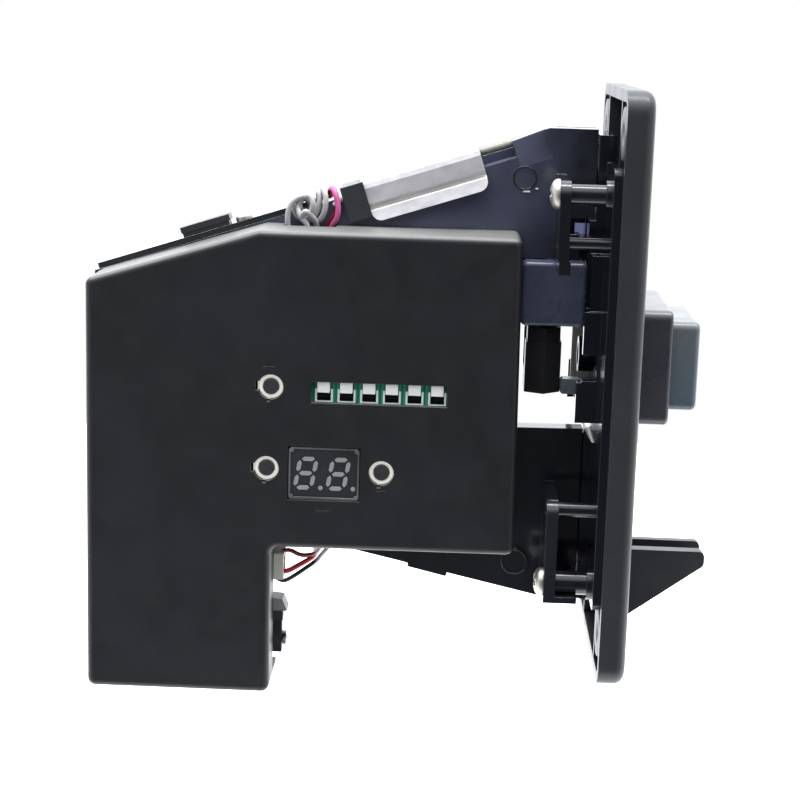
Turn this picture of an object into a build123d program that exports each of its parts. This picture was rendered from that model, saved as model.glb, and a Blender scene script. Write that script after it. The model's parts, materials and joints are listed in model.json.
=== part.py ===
from build123d import *
import os
from math import cos, radians, sin, tan

# Multi-coin acceptor for a cabinet door. Millimetres, +Z up.
# The front faces -Y. Y = 0 is the plate's rear face, which lies against the door.
# X = 0 and Z = 0 are the plate's centre. The electronics cover is on the -X side.

# ---- front plate ----
PLATE_W = 65.0
PLATE_Z = (-65.2, 63.7)
PLATE_T = 6.0
PLATE_CORNER = 5.0
PLATE_SKIN = 2.4
PLATE_WALL = 2.5
INSERT_X = 24.0
INSERT_Z = 54.5
INSERT_FLANGE_R = 5.7
INSERT_BARREL_R = 3.0
INSERT_BORE_R = 2.1
INSERT_FLANGE_T = 1.4
INSERT_DEPTH = 4.9
FRONT_ROUND = 2.4
RIB_T = 1.6
RIB_X = (-17.0, 17.0)
RIB_Z = (19.2, -11.4, -39.4)
BUTTON_OPENING_HALF_W = 15.0
BUTTON_OPENING_Z = (-8.0, 14.8)

# ---- coin path ----
SLOT_HALF = 2.3
SLOT_Z = (21.5, 51.0)
CHANNEL_X = (-2.4, 2.7)
FUNNEL_FLARE = 1.5
FUNNEL_DEPTH = 1.5
RETURN_HALF = 3.0
RETURN_Z = (-57.0, -28.5)

# ---- reject button ----
BUTTON_HALF_W = 13.5
BUTTON_Z = (-6.5, 13.3)
BUTTON_TIP_Y = -20.2
BUTTON_REAR_Y = -9.0
BUTTON_WALL = 1.8
FRAME_HALF_W = 18.0
FRAME_Z = (-9.2, 16.3)
FRAME_FRONT_Y = -13.7
SLEEVE_HALF_W = 14.9
SLEEVE_Z = (-7.9, 14.7)
SLEEVE_GAP = 0.35
STEM_Z = 3.4
STEM_R = 2.5
STEM_END_Y = 3.4
ARM_X = (-13.0, -9.5)
ARM_Z = (-3.6, -0.2)
ARM_TIP_Y = 10.1

# ---- return scoop on the front ----
SCOOP_TOP_Z = -40.6
SCOOP_TIP_Y = -25.2
SCOOP_FOOT_Z = -57.9
SCOOP_FLOOR_T = 2.2
SCOOP_SIDES_X = ((-6.2, -3.0), (3.0, 5.2))

# ---- sub-plate behind the front plate ----
SUB_T = 1.8
SUB_HALF_W = 29.8
SUB_Z = (-48.5, 47.5)
STAND_X = 24.0
UPPER_STAND_Z = 41.5
UPPER_PIN_Z = 31.2
LOWER_STAND_Z = -43.7
LOWER_PIN_Z = -27.2
UPPER_FLANGE_Y = (10.4, 12.7)
LOWER_FLANGE_Y = (9.9, 12.5)
FLANGE_END_X = 28.0
FLANGE_CORNER = 3.4
UPPER_STAND_R = 2.25
UPPER_PIN_R = 1.3
LOWER_STAND_R = 2.6
LOWER_PIN_R = 1.6
SHROUD_HALF_W = 8.6
SHROUD_Y = (0.5, 3.95)
HEAD_R = 3.2
HEAD_H = 2.1
HEAD_ROUND = 1.7
SHANK_R = 1.2
SHANK_LENGTH = 7.5

# ---- mechanism ----
FRAME_X = (-8.0, -2.4)
WALL_X = 8.0
SLOPE_DEG = 18.13
SLOPE_TOP_Y = 12.0
SLOPE_TOP_Z = 54.8
REAR_Y = 114.7
RAIL_N = -37.0
LID_SCREW = (73.2, 5.2)
LID_S = (58.0, 107.4)
COIL_CENTRE = (55.0, -19.0)
GATE_COIL_R = 7.6
SENSOR_COIL_R = 7.9
HINGE_X = 2.0
HINGE_N = -1.1
HINGE_R = 1.25
KNUCKLE_R = 1.9
GATE_X = (3.0, 7.2)
LUG_S = (7.2, 41.0)
LUG_TOP_N = -0.1
BRACKET_S = (18.7, 45.2)
NECK_TOP_Z = 54.5
NECK_EDGE_N = 0.0
NOTCH_S = (11.2, 19.2)
NOTCH_N = -3.6
KNUCKLES = ((21.0, 5.0), (29.5, 3.0), (35.6, 5.0))

# ---- return chute and outlet leg ----
CHUTE_INNER_X = 3.0
CHUTE_DEG = 12.3
CHUTE_Z0 = -54.6
CHUTE_TOP_Z = -12.4
LOWER_FLANGE_Z = (-46.6, -24.8)
LEG_Y = (75.0, 114.7)
LEG_BOTTOM_Z = -69.5
LEG_X = (-8.0, 8.4)
LEG_TOP_Z = -17.2
LEG_WALL = 2.2
OUTLET_X = (-3.2, 3.6)
FLAP_PIVOT = (79.6, -37.6)
FLAP_REST_DEG = 24.0
FLAP_SWING_DEG = 50.0
CRANK_R = 6.0
SOLENOID_X = 20.4
SOLENOID_Z = -31.9
SOLENOID_FRAME_Y = (46.0, 69.0)
COIL_R = 6.0
PLUNGER_R = 3.0

# ---- electronics ----
COVER_X = (-26.0, -8.3)
COVER_WALL = 1.9
COVER_CORNER = 1.8
COVER_ROUND = 1.5
COVER_OUTLINE = [(113.5, 20.2), (76.2, 31.8), (20.0, 31.8), (19.2, -37.7), (72.7, -37.9), (72.5, -71.5),
                 (113.2, -71.5)]
PCB_X = (-20.0, -18.4)
SWITCH_COUNT = 6
SWITCH_FIRST_Y = 37.1
SWITCH_PITCH = 4.92
SWITCH_TRAVEL = 2.0
SWITCH_WINDOW_Z = (-5.1, -0.4)
DISPLAY_Y = (53.5, 68.9)
DISPLAY_Z = (-26.6, -15.0)
TACTS = {"set_button": (73.1, -1.9), "plus_button": (73.8, -20.0), "minus_button": (48.7, -20.2)}
TACT_HOLE_R = 2.75
TACT_HALF = 3.0
TACT_KEY_R = 1.75
DIGIT_H = 7.4
DIGIT_W = 4.5
DIGIT_LEAN = 0.17
SEGMENT_T = 0.95
COVER_POSTS = ((104.0, 12.0), (28.0, 24.0), (28.0, -28.0), (92.0, -30.0))

SLOPE = radians(SLOPE_DEG)
SLOPE_PLANE = Plane(
    origin=(0, SLOPE_TOP_Y, SLOPE_TOP_Z),
    x_dir=(0, cos(SLOPE), -sin(SLOPE)),
    z_dir=(0, sin(SLOPE), cos(SLOPE)),
)


# ---- helpers ----
def block(x, y, z):
    """Box from three (low, high) pairs."""
    size = (x[1] - x[0], y[1] - y[0], z[1] - z[0])
    centre = ((x[0] + x[1]) / 2, (y[0] + y[1]) / 2, (z[0] + z[1]) / 2)
    return Pos(*centre) * Box(*size)


def slope_block(x, s, n):
    """Box along the sloped top: s runs rearwards down the slope, n is its normal."""
    centre = ((s[0] + s[1]) / 2, -(x[0] + x[1]) / 2, (n[0] + n[1]) / 2)
    return SLOPE_PLANE * Pos(*centre) * Box(s[1] - s[0], x[1] - x[0], n[1] - n[0])


def slope_rod(x, n, radius, s):
    """Cylinder whose axis runs along the slope."""
    middle = Pos((s[0] + s[1]) / 2, -x, n) * Rot(0, 90, 0)
    return SLOPE_PLANE * middle * Cylinder(radius, s[1] - s[0])


def slope_yz(s, n):
    """Y and Z of a point given along the slope."""
    y = SLOPE_TOP_Y + s * cos(SLOPE) + n * sin(SLOPE)
    z = SLOPE_TOP_Z - s * sin(SLOPE) + n * cos(SLOPE)
    return y, z


def top_z(y, n=0.0):
    """Height at depth y of the line that runs n above the sloped top."""
    return SLOPE_TOP_Z - (y - SLOPE_TOP_Y) * tan(SLOPE) + n / cos(SLOPE)


def chute_z(y):
    """Height of the chute's lower edge at depth y."""
    return CHUTE_Z0 + y * tan(radians(CHUTE_DEG))


def sheet(points, x, corner=0.0):
    """Flat piece with a side outline of (Y, Z) points, from x low to x high."""
    outline = Polygon(*points, align=None)
    if corner:
        outline = fillet(outline.vertices(), corner)
    return extrude(Plane.YZ.offset(x[0]) * outline, x[1] - x[0], dir=(1, 0, 0))


def rod_x(y, z, radius, x):
    return Pos((x[0] + x[1]) / 2, y, z) * Rot(0, 90, 0) * Cylinder(radius, x[1] - x[0])


def rod_y(x, z, radius, y):
    return Pos(x, (y[0] + y[1]) / 2, z) * Rot(90, 0, 0) * Cylinder(radius, y[1] - y[0])


def coil_spring(mean_radius, wire_radius, length, pitch):
    """Helical spring that stands along +Z from the origin."""
    path = Helix(pitch=pitch, height=length, radius=mean_radius)
    start = Plane(origin=path @ 0, z_dir=path % 0)
    return sweep(start * Circle(wire_radius), path=path)


def tube_along(points, radii, wire_radius):
    """Round wire along straight runs joined by tangent arcs."""
    path = FilletPolyline(*points, radius=radii)
    start = Plane(origin=path @ 0, z_dir=path % 0)
    return sweep(start * Circle(wire_radius), path=path)


def group(solids):
    """Separate solids kept in one node."""
    return Compound(children=list(solids))


# ---- front group ----
def front_plate():
    half_w = PLATE_W / 2
    body = block((-half_w, half_w), (-PLATE_T, 0), PLATE_Z)
    body = fillet(body.edges().filter_by(Axis.Y), PLATE_CORNER)
    body = fillet(body.faces().sort_by(Axis.Y)[0].edges(), FRONT_ROUND)
    inner_w = half_w - PLATE_WALL
    inner_z = (PLATE_Z[0] + PLATE_WALL, PLATE_Z[1] - PLATE_WALL)
    hollow = block((-inner_w, inner_w), (PLATE_SKIN - PLATE_T, 1), inner_z)
    hollow = fillet(hollow.edges().filter_by(Axis.Y), PLATE_CORNER - PLATE_WALL)
    body -= hollow
    floor_y = PLATE_SKIN - PLATE_T
    for x in (-INSERT_X, INSERT_X):
        for z in (-INSERT_Z, INSERT_Z):
            body += rod_y(x, z, INSERT_BARREL_R + 1.6, (floor_y - 0.5, -INSERT_FLANGE_T))
    for x in RIB_X:
        body += block((x - RIB_T / 2, x + RIB_T / 2), (floor_y - 0.5, -0.1), (inner_z[0] - 1, inner_z[1] + 1))
    for z in RIB_Z:
        body += block((-inner_w - 1, inner_w + 1), (floor_y - 0.5, -0.1), (z - RIB_T / 2, z + RIB_T / 2))
    for x in (-INSERT_X, INSERT_X):
        for z in (-INSERT_Z, INSERT_Z):
            body -= rod_y(x, z, INSERT_BARREL_R, (-5.0, 0.5))
            body -= rod_y(x, z, INSERT_FLANGE_R + 0.1, (-INSERT_FLANGE_T, 0.5))
    body -= block((-SLOT_HALF, SLOT_HALF), (-8, 1), SLOT_Z)
    body -= slot_funnel()
    body -= block((-BUTTON_OPENING_HALF_W, BUTTON_OPENING_HALF_W), (-8, 1), BUTTON_OPENING_Z)
    body -= block((-RETURN_HALF, RETURN_HALF), (-8, 1), RETURN_Z)
    return body


def slot_funnel():
    """Flared mouth that leads a coin into the slot."""
    height = SLOT_Z[1] - SLOT_Z[0]
    middle = (SLOT_Z[0] + SLOT_Z[1]) / 2
    outer = Plane((0, -PLATE_T, middle), x_dir=(1, 0, 0), z_dir=(0, -1, 0))
    inner = Plane((0, -PLATE_T + FUNNEL_DEPTH, middle), x_dir=(1, 0, 0), z_dir=(0, -1, 0))
    mouth = outer * Rectangle(2 * (SLOT_HALF + FUNNEL_FLARE), height + 2 * FUNNEL_FLARE)
    return loft([mouth, inner * Rectangle(2 * SLOT_HALF, height)])


def corner_inserts():
    one = rod_y(0, 0, INSERT_FLANGE_R, (-INSERT_FLANGE_T, 0.0))
    one += rod_y(0, 0, INSERT_BARREL_R, (-INSERT_DEPTH, -INSERT_FLANGE_T + 0.1))
    one -= rod_y(0, 0, INSERT_BORE_R, (-6, 1))
    places = [(x, z) for x in (-INSERT_X, INSERT_X) for z in (-INSERT_Z, INSERT_Z)]
    return group(Pos(x, 0, z) * one for x, z in places)


def button_frame():
    body = block((-FRAME_HALF_W, FRAME_HALF_W), (FRAME_FRONT_Y, -PLATE_T), FRAME_Z)
    body = fillet(body.edges().filter_by(Axis.Y), 2.2)
    body = fillet(body.faces().sort_by(Axis.Y)[0].edges(), 0.9)
    hole_w = BUTTON_HALF_W + SLEEVE_GAP
    hole_z = (BUTTON_Z[0] - SLEEVE_GAP, BUTTON_Z[1] + SLEEVE_GAP)
    body += block((-SLEEVE_HALF_W, SLEEVE_HALF_W), (-PLATE_T - 0.5, -1.0), SLEEVE_Z)
    body -= block((-hole_w, hole_w), (FRAME_FRONT_Y - 1, 0), hole_z)
    return body


def return_button():
    cap = block((-BUTTON_HALF_W, BUTTON_HALF_W), (BUTTON_TIP_Y, BUTTON_REAR_Y), BUTTON_Z)
    cap = fillet(cap.edges().filter_by(Axis.Y), 1.8)
    cap = fillet(cap.faces().sort_by(Axis.Y)[0].edges(), 1.2)
    inside_w = BUTTON_HALF_W - BUTTON_WALL
    inside_z = (BUTTON_Z[0] + BUTTON_WALL, BUTTON_Z[1] - BUTTON_WALL)
    cap -= block((-inside_w, inside_w), (BUTTON_TIP_Y + BUTTON_WALL, 0), inside_z)
    stem = rod_y(0, STEM_Z, STEM_R, (BUTTON_TIP_Y + 1, STEM_END_Y))
    arm = block(ARM_X, (BUTTON_TIP_Y + 1, ARM_TIP_Y), ARM_Z)
    arm = fillet(arm.faces().sort_by(Axis.Y)[-1].edges(), 0.8)
    return cap + stem + arm


def button_spring():
    spring = coil_spring(4.3, 0.4, 17.5, 2.6)
    return Pos(0, -0.45, STEM_Z) * Rot(90, 0, 0) * spring


def return_scoop():
    outline = [(-PLATE_T, SCOOP_TOP_Z), (-PLATE_T, SCOOP_FOOT_Z), (SCOOP_TIP_Y, SCOOP_TOP_Z - 3.3),
               (SCOOP_TIP_Y, SCOOP_TOP_Z)]
    side = Polygon(*outline, align=None)
    side = fillet(side.vertices().sort_by(Axis.X)[:2], 1.3)
    floor_line = [(-PLATE_T, SCOOP_FOOT_Z), (-PLATE_T, SCOOP_FOOT_Z + SCOOP_FLOOR_T),
                  (SCOOP_TIP_Y + 3.4, SCOOP_TOP_Z - 2.4),
                  (SCOOP_TIP_Y + 2.6, SCOOP_TOP_Z - 2.4 - SCOOP_FLOOR_T)]
    body = sheet(floor_line, (-RETURN_HALF - 0.2, RETURN_HALF + 0.2))
    for low, high in SCOOP_SIDES_X:
        body += extrude(Plane.YZ.offset(low) * side, high - low, dir=(1, 0, 0))
    return body


def sub_plate():
    body = block((-SUB_HALF_W, SUB_HALF_W), (0, SUB_T), SUB_Z)
    body = fillet(body.edges().filter_by(Axis.Y), 2.0)
    body += block((-10, 10), (0, 3.7), (34.0, 53.4))
    body += block((-10, 10), (0, 5.1), (15.0, 34.8))
    body += block((-14.8, 14.8), (0, 4.4), (15.0, 27.5))
    body += block((WALL_X + 0.2, 10), (0, 6.5), (15.0, 29.4))
    body += block((WALL_X + 0.2, 10), (0, 6.5), (-45.6, -16.0))
    window_half = RETURN_HALF + 0.4
    shroud = [(SHROUD_Y[0], SUB_Z[0]), (SHROUD_Y[1], SUB_Z[0]), (SHROUD_Y[1], CHUTE_TOP_Z),
              (SUB_T + 0.3, CHUTE_TOP_Z - 3.0), (SHROUD_Y[0], CHUTE_TOP_Z - 3.0)]
    body += sheet(shroud, (-SHROUD_HALF_W, SHROUD_HALF_W))
    body += block((-SHROUD_HALF_W, -window_half), SHROUD_Y, (-52.0, -40.0))
    body += block((window_half, SHROUD_HALF_W), SHROUD_Y, (-52.0, -40.0))
    for x in (-STAND_X, STAND_X):
        body += rod_y(x, UPPER_STAND_Z, UPPER_STAND_R, (0.5, UPPER_FLANGE_Y[0]))
        body += rod_y(x, UPPER_PIN_Z, UPPER_PIN_R, (0.5, UPPER_FLANGE_Y[0]))
        body += rod_y(x, LOWER_STAND_Z, LOWER_STAND_R, (0.5, LOWER_FLANGE_Y[0]))
        body += rod_y(x, LOWER_PIN_Z, LOWER_PIN_R, (0.5, LOWER_FLANGE_Y[0]))
        body += rod_y(x, UPPER_STAND_Z, UPPER_STAND_R + 1.0, (0.5, SUB_T + 1.2))
        body += rod_y(x, LOWER_STAND_Z, LOWER_STAND_R + 1.0, (0.5, SUB_T + 1.2))
    housing = block((-16.2, 16.2), (0.5, 5.6), (-9.4, 15.3))
    housing -= block((-13.9, 13.9), (0, 7), (-7.6, 13.9))
    housing -= block((-20, -12), (SUB_T + 0.6, 7), (0.0, 5.8))
    housing -= block((12, 20), (SUB_T + 0.6, 7), (0.0, 5.8))
    housing -= block((-13.6, -2.2), (5.1, 7), (13.5, 16))
    for x in (-16.2, 13.9):
        housing += block((x, x + 2.3), (0.5, 6.7), (-9.4, -0.4))
    body += housing
    body += rod_y(0, STEM_Z, STEM_R + 1.5, (0.5, 5.6))
    body -= rod_y(0, STEM_Z, STEM_R + 0.08, (-1, 7))
    body -= block((ARM_X[0] - 0.5, ARM_X[1] + 0.5), (-1, 7), (ARM_Z[0] - 0.5, ARM_Z[1] + 0.5))
    body -= block((-SLOT_HALF, SLOT_HALF), (-1, 7), SLOT_Z)
    body -= block((-window_half, window_half), (-1, 7), (-60, RETURN_Z[1]))
    for x in (-STAND_X, STAND_X):
        for z in (UPPER_STAND_Z, LOWER_STAND_Z):
            body -= rod_y(x, z, SHANK_R + 0.05, (2.5, 11))
    return body


def slot_guide_strip():
    strip = block((12.0, 12.8), (1.85, 6.3), (-6.8, 9.6))
    strip -= block((11, 14), (4.8, 5.5), (8.4, 10))
    return strip


def fixing_screws():
    head = rod_y(0, 0, HEAD_R, (0, HEAD_H))
    head = fillet(head.edges().sort_by(Axis.Y)[-1], HEAD_ROUND)
    head -= block((-2.0, 2.0), (0.9, 3), (-0.4, 0.4)) + block((-0.4, 0.4), (0.9, 3), (-2.0, 2.0))
    screw = head + rod_y(0, 0, SHANK_R, (-SHANK_LENGTH, 0.2))
    places = []
    for x in (-STAND_X, STAND_X):
        places.append((x, UPPER_FLANGE_Y[1] + 0.02, UPPER_STAND_Z))
        places.append((x, LOWER_FLANGE_Y[1] + 0.02, LOWER_STAND_Z))
    return group(Pos(*place) * screw for place in places)


# ---- coin mechanism ----
def flange_holes(stand_z, pin_z, pin_r, x):
    holes = rod_y(x, stand_z, SHANK_R + 0.4, (8, 15))
    return holes + rod_y(x, pin_z, pin_r + 0.05, (8, 15))


def upper_flange(inner_x, outer_x):
    low = min(inner_x, outer_x)
    high = max(inner_x, outer_x)
    plate = block((low, high), UPPER_FLANGE_Y, (27.5, 44.5))
    middle = (low + high) / 2
    outer = low if abs(low) > abs(high) else high
    end_corner = plate.edges().filter_by(Axis.Y).filter_by_position(Axis.X, outer - 0.1, outer + 0.1)
    plate = fillet(end_corner.sort_by(Axis.Z)[-1], FLANGE_CORNER)
    foot = block((min(outer, middle), max(outer, middle)), (9.9, 12.4), (24.6, 27.7))
    return plate + foot


def main_frame():
    outline = [
        (3.9, NECK_TOP_Z), (3.9, 35.0), (9.3, 35.0), (9.3, 31.4), (7.0, 31.4), (7.0, 25.8),
        (20.6, 25.8), (20.6, 9.9), (72.0, -6.9), (72.0, -16.8), (REAR_Y, -16.8),
        (REAR_Y, top_z(REAR_Y, -1.3)), (22.8, top_z(22.8, -1.3)), (22.8, top_z(22.8, NECK_EDGE_N)),
        (14.7, NECK_TOP_Z),
    ]
    body = sheet(outline, FRAME_X)
    body -= neck_chamfer()
    body -= slope_block((FRAME_X[0] - 0.1, FRAME_X[1] - 1.0), NOTCH_S, (NOTCH_N, 3.0))
    body -= slope_block((FRAME_X[1] - 1.2, FRAME_X[1] + 0.1), NOTCH_S, (-1.5, 3.0))
    body += upper_flange(-FLANGE_END_X, FRAME_X[0] + 0.5)
    body -= flange_holes(UPPER_STAND_Z, UPPER_PIN_Z, UPPER_PIN_R, -STAND_X)
    body -= rod_x(*slope_yz(*COIL_CENTRE), SENSOR_COIL_R + 0.2, (FRAME_X[0] - 1, FRAME_X[1] - 1.2))
    for s in LUG_S:
        lug = slope_block((FRAME_X[1] - 1, 3.8), (s, s + 4.0), (-3.2, LUG_TOP_N))
        lug -= slope_rod(HINGE_X, HINGE_N, HINGE_R, (s - 1, s + 5))
        body += lug
    return body - lid_screw_hole()


def neck_chamfer():
    """Slightly leaning facet along the neck's upper edge, ahead of the hinge."""
    lean = Polygon((9.0, -8.0), (9.0, 1.0), (6.6, 1.0), (8.0, -6.0), (8.0, -8.0), align=None)
    origin = SLOPE_PLANE.from_local_coords(Vector(3.6, 0, 0))
    side = Plane(origin=origin, x_dir=(-1, 0, 0), z_dir=SLOPE_PLANE.x_dir)
    return extrude(side * lean, 7.6, dir=SLOPE_PLANE.x_dir)


def throat_wall():
    rear = UPPER_FLANGE_Y[1]
    outline = [(3.9, NECK_TOP_Z - 0.1), (3.9, 35.0), (5.2, 35.0), (5.2, 24.4), (9.0, 24.4), (9.0, 26.0),
               (rear, 26.0), (rear, NECK_TOP_Z - 0.1)]
    body = sheet(outline, (CHANNEL_X[1], WALL_X))
    body -= block((CHANNEL_X[1] - 1, 9.0), (5.2, 7.5), (29.9, 32.9))
    body += upper_flange(WALL_X - 0.5, FLANGE_END_X)
    body -= flange_holes(UPPER_STAND_Z, UPPER_PIN_Z, UPPER_PIN_R, STAND_X)
    return body


def inlet_guide():
    body = block((-13.2, FRAME_X[1]), (5.2, 19.5), (11.4, 25.6))
    body = fillet(body.edges().filter_by(Axis.X), 1.2)
    face = body.faces().sort_by(Axis.X)[0]
    return fillet(face.edges(), 1.0)


def runway_rail():
    return slope_block((FRAME_X[1], 2.3), (12.0, 76.0), (RAIL_N - 2.0, RAIL_N))


def gate_plate():
    bottom = RAIL_N + 0.6
    outline = [
        (13.4, top_z(13.4, -4.0)), (13.4, 24.2), (9.9, 24.2), (9.9, -4.0), (17.9, -4.0),
        (17.9, top_z(17.9, bottom)), (104.0, top_z(104.0, bottom)), (104.0, top_z(104.0, -2.4)),
        (58.0, top_z(58.0, -2.4)), (58.0, top_z(58.0, -4.0)),
    ]
    body = sheet(outline, GATE_X)
    for s, width in KNUCKLES:
        knuckle = slope_rod(HINGE_X, HINGE_N, KNUCKLE_R, (s, s + width))
        knuckle += slope_block((HINGE_X + 0.3, GATE_X[1]), (s, s + width), (-4.8, HINGE_N + 0.2))
        knuckle -= slope_rod(HINGE_X, HINGE_N, HINGE_R + 0.06, (s - 1, s + width + 1))
        body += knuckle
    rib_n = RAIL_N + 6
    body += slope_block((GATE_X[1] - 0.2, GATE_X[1] + 1.4), (14, 90), (rib_n, rib_n + 1.6))
    body += slope_block((GATE_X[1] - 0.2, GATE_X[1] + 1.4), (14, 90), (-10, -8.4))
    return body


def gate_cam():
    """Wedge that hangs from the gate; the push arm slides on its slanted front."""
    section = Polygon((-9.8, 17.9), (-12.0, 13.7), (-8.5, 9.9), (-4.0, 9.9), (-4.0, 17.9), align=None)
    wedge = extrude(Plane.XY.offset(-4.0) * section, 11.3)
    neck = extrude(Plane.XY.offset(7.2) * offset(section, -0.3), 3.4)
    web = block((-4.2, GATE_X[0]), (9.9, 17.9), (-4.0, 0.4))
    return wedge + neck + web


def gate_coil():
    y, z = slope_yz(*COIL_CENTRE)
    body = rod_x(y, z, GATE_COIL_R, (GATE_X[1], GATE_X[1] + 4.2))
    return body - rod_x(y, z, 2.0, (GATE_X[1] + 1.5, GATE_X[1] + 5))


def sensor_coil():
    y, z = slope_yz(*COIL_CENTRE)
    body = rod_x(y, z, SENSOR_COIL_R, (-12.6, FRAME_X[1] - 1.2))
    return body - rod_x(y, z, 2.0, (-13, -9))


def hinge_bracket():
    """Folded sheet steel: flat top, upright face, a joggle and an outward lip."""
    outer = [(3.4, 1.75), (-8.6, 0.9), (-9.7, 0.3), (-10.0, -0.8), (-10.0, -4.2), (-9.4, -4.7), (-9.4, -5.3),
             (-10.1, -5.8), (-10.7, -8.4)]
    inner = [(-10.0, -8.4), (-9.5, -6.2), (-8.7, -5.7), (-8.7, -4.4), (-9.3, -3.9), (-9.3, -0.7), (-9.1, -0.1),
             (-8.4, 0.3), (3.4, 1.15)]
    outline = Polygon(*[(-x, n) for x, n in outer + inner], align=None)
    side = Plane(origin=SLOPE_PLANE.from_local_coords(Vector(BRACKET_S[0], 0, 0)),
                 x_dir=(-1, 0, 0), z_dir=SLOPE_PLANE.x_dir)
    body = extrude(side * outline, BRACKET_S[1] - BRACKET_S[0], dir=SLOPE_PLANE.x_dir)
    corner_r = 2.2
    corner_n = (-8.6, -6.2)
    for edge_s, inwards in ((BRACKET_S[0], 1), (BRACKET_S[1], -1)):
        centre_s = edge_s + corner_r * inwards
        low, high = sorted((edge_s - 0.1 * inwards, centre_s))
        corner = slope_block((-11.5, -8.0), (low, high), corner_n)
        round_rod = SLOPE_PLANE * Pos(centre_s, 9.75, corner_n[1]) * Rot(90, 0, 0) * Cylinder(corner_r, 5.0)
        body -= corner - round_rod
    return body


def hinge_pin():
    return slope_rod(HINGE_X, HINGE_N, HINGE_R, (7.4, 45.0))


def gate_spring():
    spring = coil_spring(1.6, 0.2, 2.2, 0.55)
    return SLOPE_PLANE * Pos(33.0, -HINGE_X, HINGE_N) * Rot(0, 90, 0) * spring


def top_lid():
    lid = slope_block((FRAME_X[0], 8.4), LID_S, (-1.25, 0.0))
    lid += slope_block((8.0, 9.2), LID_S, (-6.0, 0.0))
    return lid - lid_screw_hole()


def lid_screw_hole():
    return SLOPE_PLANE * Pos(*LID_SCREW, -1.5) * Cylinder(0.85, 5.0)


def lid_clip():
    clip = slope_block((-7.6, -3.2), (76.0, 87.4), (0.9, 2.3))
    return clip + slope_block((-7.4, -3.4), (76.4, 87.2), (0.0, 1.0))


def lid_screw():
    head = SLOPE_PLANE * Pos(*LID_SCREW, 0.75) * Cylinder(1.9, 1.5)
    return head + SLOPE_PLANE * Pos(*LID_SCREW, -1.2) * Cylinder(0.8, 3.0)


def wire_guide():
    plate = slope_block((-10.6, -8.05), (45.2, 50.4), (-7.0, 0.9))
    return plate + slope_block((-8.2, 2.4), (46.6, 50.4), (-0.05, 0.9))


def over_edge(x, y, lean, peak):
    """Route of a coil lead: up out of the cover, over the top edge and down onto the frame."""
    landing = y - lean
    return [
        (x, y, 28.2),
        (x, y, peak - 3.6),
        (x + 0.6, y - 0.4 * lean, peak),
        (-5.2, landing, peak - 0.4),
        (-5.2, landing - 0.2, top_z(landing, -1.3) + 0.4),
    ]


def coil_wire_grey():
    first = tube_along(over_edge(-9.7, 70.4, 4.6, 40.4), [1.8, 1.4, 1.2], 0.8)
    second = tube_along(over_edge(-11.6, 67.0, 3.4, 40.2), [1.8, 1.4, 1.2], 0.8)
    return group([first, second])


def coil_wire_pink():
    return tube_along(over_edge(-9.6, 62.3, 1.4, 41.0), [1.4, 1.0, 1.0], 0.7)


# ---- return chute and outlet leg ----
def chute_side(x, top_drop=0.0):
    """Side wall of the return chute; top_drop lowers its upper edge at the front."""
    outline = [
        (4.2, CHUTE_TOP_Z - top_drop), (4.2, chute_z(4.2)), (33.6, chute_z(33.6)), (33.9, chute_z(33.6) - 0.9),
        (42.6, chute_z(42.8) - 0.9), (42.8, chute_z(42.8)), (74.6, chute_z(74.6)),
        (74.6, -17.2), (19.0, CHUTE_TOP_Z - 0.2 - top_drop),
    ]
    return sheet(outline, x)


def lower_flange(inner_x, outer_x):
    low = min(inner_x, outer_x)
    high = max(inner_x, outer_x)
    outer = low if abs(low) > abs(high) else high
    plate = block((low, high), LOWER_FLANGE_Y, LOWER_FLANGE_Z)
    end_corner = plate.edges().filter_by(Axis.Y).filter_by_position(Axis.X, outer - 0.1, outer + 0.1)
    plate = fillet(end_corner.sort_by(Axis.Z)[-1], FLANGE_CORNER)
    return plate + block((low, high), (5.2, LOWER_FLANGE_Y[1]), (-47.4, -46.0))


def chute_near():
    body = chute_side((FRAME_X[0], -CHUTE_INNER_X))
    body += rod_x(18.35, -43.85, 3.05, (FRAME_X[0] - 0.5, -7))
    body += lower_flange(-FLANGE_END_X, FRAME_X[0] + 0.5)
    return body - flange_holes(LOWER_STAND_Z, LOWER_PIN_Z, LOWER_PIN_R, -STAND_X)


def chute_far():
    body = chute_side((CHUTE_INNER_X, WALL_X), 3.2)
    body += lower_flange(WALL_X - 0.5, FLANGE_END_X)
    return body - flange_holes(LOWER_STAND_Z, LOWER_PIN_Z, LOWER_PIN_R, STAND_X)


def chute_floor():
    rear = 74.6
    points = [(-3.2, chute_z(-3.2) + 0.2), (rear, chute_z(rear) + 0.2), (rear, chute_z(rear) + 2.2),
              (-3.2, chute_z(-3.2) + 2.2)]
    return sheet(points, (-2.95, 2.95))


def leg_chute():
    body = block(LEG_X, LEG_Y, (LEG_BOTTOM_Z, LEG_TOP_Z))
    body -= block(OUTLET_X, (LEG_Y[0] + LEG_WALL, LEG_Y[1] - LEG_WALL), (LEG_BOTTOM_Z - 1, LEG_TOP_Z + 1))
    body -= block(OUTLET_X, (LEG_Y[0] - 1, LEG_Y[0] + 4), (-35.6, LEG_TOP_Z + 1))
    body -= rod_x(*FLAP_PIVOT, 1.06, (-9, 10))
    return body


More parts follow.
